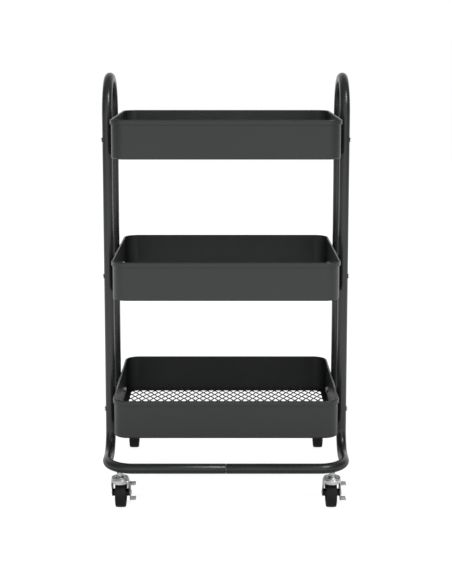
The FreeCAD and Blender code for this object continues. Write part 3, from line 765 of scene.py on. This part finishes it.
def stem():
    """The fixed half of a caster, from below: rivet head, king pin, domed race plate, hexagon and stem."""
    race_low = CROWN_LOW + CROWN_TALL + RACE_GAP
    race_top = race_low + RACE_TALL
    rivet_low, rivet_top = CROWN_LOW - 1.8 * MM, CROWN_LOW - 0.4 * MM
    outer, rivet, pin = RACE_DIA / 2, RIVET_DIA / 2, PIN_DIA / 2
    hexagon, eased = six_sided(HEX_ACROSS), six_sided(HEX_ACROSS, HEX_CORNERS / 2)
    mount, thread = frame_low.z, STEM_DIA / 2
    profile = [(0, rivet_low), (rivet - 1.3 * MM, rivet_low), (rivet, rivet_low + 0.9 * MM)]
    profile += [(rivet, rivet_top), (pin, rivet_top), (pin, race_low)]
    profile += [(outer - 0.4 * MM, race_low), (outer, race_low + 0.4 * MM)]
    race = [(0, -0.6), (0.6, 0), (2.2, 0), (2.8, -0.5), (3.6, -0.5), (4.4, 0.3)]
    profile += [(outer - inwards * MM, race_top + rise * MM) for inwards, rise in race]
    dome = [(9.6, 0.3), (8.4, 0.8), (7.0, 2.2), (6.2, 2.9)]
    profile += [(reach * MM, race_top + rise * MM) for reach, rise in dome]
    profile += [(eased, race_top + 2.9 * MM), (hexagon, race_top + 3.3 * MM)]
    profile += [(hexagon, mount - 0.5 * MM), (eased, mount)]
    profile += [(thread, mount), (thread, mount + STEM_TALL), (0, mount + STEM_TALL)]
    return turned(profile)


def crown():
    """The fork's round crown: a disc with rounded edges and a shallow ball track."""
    low, top = CROWN_LOW, CROWN_LOW + CROWN_TALL
    outer, hole, edge, track = CROWN_DIA / 2, CROWN_HOLE / 2, 0.8 * MM, 0.4 * MM
    profile = [(hole, low), (outer - edge, low), (outer, low + edge), (outer, top - edge)]
    profile += [(outer - edge, top), (outer - 3 * MM, top), (outer - 3.6 * MM, top - track)]
    profile += [(outer - 5 * MM, top - track), (outer - 5.6 * MM, top), (hole, top)]
    return turned(profile, closed=True)


def skirt():
    """The crown's pressed skirt, round its front and sides only, so that the wheel clears it behind."""
    low, top = CROWN_LOW - SKIRT_DEEP, CROWN_LOW + 1 * MM
    outer = CROWN_DIA / 2 - 0.05 * MM
    inner, edge = outer - SKIRT_SHEET, 0.35 * MM
    section = [(outer, top), (outer, low + edge), (outer - edge, low)]
    section += [(inner + edge, low), (inner, low + edge), (inner, top)]
    steps, rows = 48, []
    for i in range(steps + 1):
        turn = math.radians(SKIRT_TURN) * (2 * i / steps - 1)
        rows.append([Vector((math.sin(turn) * reach, -math.cos(turn) * reach, z)) for reach, z in section])
    return lofted(rows)


def fork_edges(height):
    """The front and back of a fork leg at a height, as reaches along Y from the king pin."""
    if height <= FORK_TANGENT:
        half = math.sqrt(max(FORK_END**2 - (height - AXLE_Z) ** 2, 0))
        return TRAIL - half, TRAIL + half
    share = min((height - FORK_TANGENT) / (FORK_WAIST - FORK_TANGENT), 1)
    half = math.sqrt(FORK_END**2 - (FORK_TANGENT - AXLE_Z) ** 2)
    swell = math.sin(share * math.pi) * FORK_SWELL
    front = (TRAIL - half) * (1 - share) - FORK_FRONT * share
    back = (TRAIL + half) * (1 - share) + FORK_BACK * share
    return front + swell, back - swell


def fork_leg(side):
    """One leg of pressed sheet, which bends in under the crown."""
    outer, top = FORK_WIDTH / 2, CROWN_LOW + FORK_SHEET
    bend, edge, tongue = 3 * MM, 0.35 * MM, 6 * MM
    heights = [AXLE_Z - FORK_END * math.cos(math.radians(turn)) for turn in (0, 12, 28, 45, 62, 80, 98)]
    heights += [30 * MM, 34 * MM, 38 * MM, 42 * MM, FORK_WAIST]
    path = [(outer, height) for height in heights]
    path += arc((outer - bend, top - bend), bend, 0, 90, 6) + [(tongue, top)]
    rows = []
    for i, (reach, height) in enumerate(path):
        before = Vector(path[max(i - 1, 0)])
        after = Vector(path[min(i + 1, len(path) - 1)])
        along = (after - before).normalized()
        inward = Vector((-along.y, along.x))
        front, back = fork_edges(height)
        outline = [(front + edge, 0), (front, edge), (front, FORK_SHEET - edge), (front + edge, FORK_SHEET)]
        outline += [(back - edge, FORK_SHEET), (back, FORK_SHEET - edge), (back, edge), (back - edge, 0)]
        places = [(y, Vector((reach, height)) + inward * depth) for y, depth in outline]
        rows.append([Vector((side * place.x, y, place.y)) for y, place in places])
    return lofted(rows)


def axle_rivet(corner):
    """The axle: a rivet with a low domed head, dimpled in its middle, on each side."""
    low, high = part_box(f"{corner}_axle")
    hinge = middle(f"{corner}_wheel")
    head, dome, steps = 4.5 * MM, 1.2 * MM, 32
    profile = [(0, 0), (head, 0), (head, dome * 0.35), (head * 0.85, dome * 0.72)]
    profile += [(head * 0.55, dome * 0.95), (head * 0.3, dome), (head * 0.25, dome * 0.7), (0, dome * 0.6)]
    points, faces = turned(profile, steps)
    length = high.x - low.x - 2 * dome
    shank = turned([(0, 0), (AXLE_DIA / 2, 0), (AXLE_DIA / 2, length), (0, length)], steps)
    return joined(
        (moved(points, (low.x + dome, hinge.y, hinge.z), -X_AXIS), faces),
        (moved(points, (high.x - dome, hinge.y, hinge.z), X_AXIS), faces),
        (moved(shank[0], (low.x + dome, hinge.y, hinge.z), X_AXIS), shank[1]),
    )


def tyre():
    """A tread with rounded shoulders and a bead on each side."""
    outer, inner, shoulder = WHEEL_DIA / 2, RIM_DIA / 2, 1.8 * MM
    low, wide = outer - 0.35 * MM - shoulder, TREAD_HALF - 0.3 * MM - shoulder
    right = [(outer, 0.25 * MM), (outer - 0.08 * MM, TREAD_HALF * 0.45)]
    for turn in (75, 50, 25, 5):
        angle = math.radians(turn)
        right.append((low + shoulder * math.sin(angle), wide + shoulder * math.cos(angle)))
    right += [(outer - 4 * MM, TREAD_HALF - 0.05 * MM), (outer - 4.8 * MM, TREAD_HALF - 0.5 * MM)]
    right.append((inner, TREAD_HALF - 0.7 * MM))
    left = [(radius, -along) for radius, along in reversed(right)]
    return turned(left + [(outer, 0)] + right, 96, closed=True)


def wheel_core():
    """The wheel's moulded middle: a dished web between its rim and a hub that fills the fork."""
    half, hub = TREAD_HALF, FORK_WIDTH / 2 - FORK_SHEET - 0.3 * MM
    rim, bore, boss = RIM_DIA / 2, AXLE_DIA / 2 + 0.1 * MM, HUB_DIA / 2
    web = half - 4.6 * MM
    right = [(rim, half - 0.7 * MM), (rim - 0.9 * MM, half - 0.5 * MM), (rim - 1.7 * MM, half - 1 * MM)]
    right += [(rim - 2.5 * MM, half - 4 * MM), (rim - 3.5 * MM, web), (boss + 2.4 * MM, web)]
    right += [(boss + 1.4 * MM, half - 4 * MM), (boss + 0.3 * MM, hub - 1 * MM), (boss - 0.4 * MM, hub)]
    right.append((bore, hub))
    left = [(radius, -along) for radius, along in reversed(right)]
    return turned(left + right, 72, closed=True)


def web_ribs():
    """Eight thin ribs that stiffen the web on each side."""
    near, far, half_sheet, ease = 7 * MM, 16.6 * MM, 0.6 * MM, 0.25 * MM
    outline = [(near, -half_sheet), (far, -half_sheet), (far, half_sheet), (near, half_sheet)]
    low, high = TREAD_HALF - 5 * MM, TREAD_HALF - 2 * MM
    parts = []
    for i in range(8):
        turn = Matrix.Rotation(math.tau * i / 8, 3, "X")
        for start, end in ((-high, -low), (low, high)):
            points, faces = slab(outline, start, end, ease)
            parts.append(([turn @ point for point in points], faces))
    return joined(*parts)


LEVER_FACE = FORK_WIDTH / 2 + LEVER_GAP
PEDAL_ROUND, RIDGE_ROUND, RIDGE_SPACING, RIDGE_INSET = 0.8 * MM, 0.5 * MM, 3 * MM, 1 * MM


def lever():
    """The brake lever's plate, with rounded ends."""
    half, straight = LEVER_WIDE / 2, LEVER_TALL / 2 - LEVER_WIDE / 2
    outline = arc((0, straight), half, 0, 180, 12) + arc((0, -straight), half, 180, 360, 12)
    outline = [(y, AXLE_Z + LEVER_LIFT + z) for y, z in outline]
    return slab(outline, LEVER_FACE, LEVER_FACE + LEVER_SHEET, 0.3 * MM)


def pedal(side):
    """One pedal: a lip that stands out from the plate, with ridges across it."""
    low = AXLE_Z + LEVER_LIFT + side * PEDAL_SPACING / 2 - PEDAL_SHEET / 2
    end, plate = PEDAL_LONG / 2 - PEDAL_ROUND, LEVER_FACE + LEVER_SHEET
    outline = arc((end, low + PEDAL_ROUND), PEDAL_ROUND, -90, 90, 4)
    outline += arc((-end, low + PEDAL_ROUND), PEDAL_ROUND, 90, 270, 4)
    parts = [slab(outline, LEVER_FACE, plate + PEDAL_REACH, 0.4 * MM)]
    outside = low + PEDAL_SHEET if side > 0 else low
    for i in range(-2, 3):
        ridge = arc((i * RIDGE_SPACING, outside), RIDGE_ROUND, 0, 360, 8)[:-1]
        parts.append(slab(ridge, plate + RIDGE_INSET, plate + PEDAL_REACH - RIDGE_INSET, 0.2 * MM))
    return joined(*parts)


def standing(part, x, y, z=0.0):
    """A part of a caster moved from its king pin's line to its place on the floor plan."""
    points, faces = part
    return [point + Vector((x, y, z)) for point in points], faces


def dress_caster(corner, braked):
    """Makes the turning pieces of one caster, and gives the (place, facing) pair of its stem."""
    hinge = middle(f"{corner}_wheel")
    x, y = hinge.x, hinge.y - TRAIL
    body, roller, brake = f"{corner}_caster", f"{corner}_roller", f"{corner}_brake"
    yoke = joined(crown(), skirt(), fork_leg(-1), fork_leg(1))
    yoke = mesh_from(f"{corner}_yoke", *standing(yoke, x, y))
    show(f"{corner}_yoke", yoke, body, FORK_PLATE, [f"{corner}_fork"], True)
    rivet = mesh_from(f"{corner}_axle_rivet", *axle_rivet(corner))
    show(f"{corner}_axle_rivet", rivet, body, BRIGHT_ZINC, [f"{corner}_axle"])
    for name, (points, faces), material, replaced in (
        ("tyre", tyre(), TREAD_RUBBER, []),
        ("wheel_core", wheel_core(), HUB_PLASTIC, [f"{corner}_wheel"]),
    ):
        mesh = mesh_from(f"{corner}_{name}", moved(points, hinge, X_AXIS), faces)
        show(f"{corner}_{name}", mesh, roller, material, replaced)
    ribs = mesh_from(f"{corner}_web_ribs", *standing(web_ribs(), *hinge))
    show(f"{corner}_web_ribs", ribs, roller, HUB_PLASTIC)
    if braked:
        plate = mesh_from(f"{corner}_lever_plate", *standing(lever(), x, hinge.y))
        show(f"{corner}_lever_plate", plate, brake, LEVER_ZINC, [f"{corner}_brake_lever"], True)
        pedals = mesh_from(f"{corner}_pedals", *standing(joined(pedal(1), pedal(-1)), x, hinge.y))
        show(f"{corner}_pedals", pedals, brake, PEDAL_PLASTIC)
    return Vector((x, y, 0)), Z_AXIS


pins = [dress_caster(corner, braked) for corner, braked in HAS_BRAKE.items()]
stems = fasteners("stems", stem(), pins, BRIGHT_ZINC)
show("caster_stem_plates", stems, "cart", BRIGHT_ZINC, ["caster_stems"])


# --- room, light and camera -----------------------------------------------------------------------


FLOOR_REACH = 6.0
FLOOR_GREY = (0.4, 0.4, 0.4, 1)
WHITE = (1, 1, 1, 1)


def ray_kinds(net):
    """Whether a ray is seen, directly or through glass, and whether a shiny surface mirrors it."""
    paths = net.node("ShaderNodeLightPath")
    return paths.output("Is Camera Ray") + paths.output("Is Transmission Ray"), paths.output("Is Glossy Ray")


def studio_floor():
    """A white floor that keeps the cart's soft shadow and fades into the white surroundings. In reflections
    it carries a painted shadow, darker near the cart.
    """
    mesh = bpy.data.meshes.new("studio_floor")
    corners = [(-FLOOR_REACH, -FLOOR_REACH, 0), (FLOOR_REACH, -FLOOR_REACH, 0)]
    corners += [(FLOOR_REACH, FLOOR_REACH, 0), (-FLOOR_REACH, FLOOR_REACH, 0)]
    mesh.from_pydata(corners, [], [(0, 1, 2, 3)])
    floor = loose("studio_floor", mesh)
    material = bpy.data.materials.new("white_floor")
    material.use_nodes = True
    material.node_tree.nodes.clear()
    net = Net(material.node_tree)
    seen, mirrored = ray_kinds(net)
    distance = net.node("ShaderNodeVectorMath", {"operation": "LENGTH"}, {0: net.coordinates()}, "Value")
    far = net.ramp(distance, 0.5, 1.5)
    # Painted shadow in reflections: mirrored rays see the floor darker within about a metre of the middle.
    near = net.ramp(distance, 0.3, 1.0)
    glow = seen * (0.89 + far * 0.11) + mirrored * (0.2 + near * 0.8)
    matt = net.node("ShaderNodeBsdfDiffuse", None, {"Color": FLOOR_GREY})
    white = net.node("ShaderNodeEmission", None, {"Color": WHITE, "Strength": glow})
    surface = net.node("ShaderNodeAddShader", None, {0: matt, 1: white})
    net.node("ShaderNodeOutputMaterial", None, {"Surface": surface})
    mesh.materials.append(material)


def surroundings(level):
    """A pale room with darker side walls and ceiling, seen as plain white."""
    world = bpy.data.worlds.new("white_room")
    bpy.context.scene.world = world
    world.use_nodes = True
    world.node_tree.nodes.clear()
    net = Net(world.node_tree)
    seen, mirrored = ray_kinds(net)
    direction = net.node("ShaderNodeTexCoord", output="Generated")
    across = net.node("ShaderNodeSeparateXYZ", None, {0: direction}, "X")
    behind = net.ramp(across.output("Y"), 0.4, 0.9)
    side = net.ramp(net.maths("ABSOLUTE", across), 0.40, 0.85)
    ceiling = 1 - net.ramp(across.output("Z"), 0.25, 0.85) * 0.75
    soft = level * ceiling * (1 - side * 0.3)
    gloss = ceiling * (1 - side * (1 - behind) * 0.8)
    room = soft + (gloss - soft) * mirrored
    light = net.node("ShaderNodeBackground", None, {"Color": WHITE, "Strength": seen + (1 - seen) * room})
    net.node("ShaderNodeOutputWorld", None, {"Surface": light})


def softbox(name, place, target, width, height, watts, glint=False):
    """A lamp that faces a target, unseen itself. It only lights, or as a glint it is only mirrored."""
    lamp = bpy.data.lights.new(name, "AREA")
    lamp.shape = "RECTANGLE"
    lamp.size, lamp.size_y = width, height
    lamp.energy = watts
    thing = bpy.data.objects.new(name, lamp)
    thing.location = place
    thing.rotation_euler = (Vector(target) - Vector(place)).to_track_quat("-Z", "Y").to_euler()
    thing.visible_camera = False
    thing.visible_glossy = glint
    thing.visible_diffuse = not glint
    bpy.context.scene.collection.objects.link(thing)


def camera(distance, height, tilt):
    """A long lens a little above the handles, square to the front and tilted down by a few degrees."""
    lens = bpy.data.cameras.new("camera")
    lens.lens = 78.44
    lens.sensor_width = 36
    lens.shift_y = -0.129
    lens.clip_end = 50
    thing = bpy.data.objects.new("camera", lens)
    thing.location = (0, MID_Y - distance, height)
    thing.rotation_euler = (math.radians(90 - tilt), 0, 0)
    bpy.context.scene.collection.objects.link(thing)
    bpy.context.scene.camera = thing


BODY, HANDLES = (0, 0, 0.35), (0, 0, 0.6)
studio_floor()
surroundings(level=0.55)
softbox("key_softbox", (-0.9, -2.8, 2.5), BODY, width=1.6, height=1.0, watts=36)
softbox("fill_softbox", (1.1, -2.7, 2.2), BODY, width=1.2, height=1.0, watts=22)
softbox("top_softbox", (0, 0.5, 2.8), (0, 0, 0.4), width=0.5, height=1.4, watts=5)
softbox("handle_glint", (1.6, -1.8, 2.8), HANDLES, width=0.9, height=1.2, watts=38, glint=True)
camera(distance=2.2192, height=0.781, tilt=7.803)
bpy.context.scene.view_settings.view_transform = "Standard"
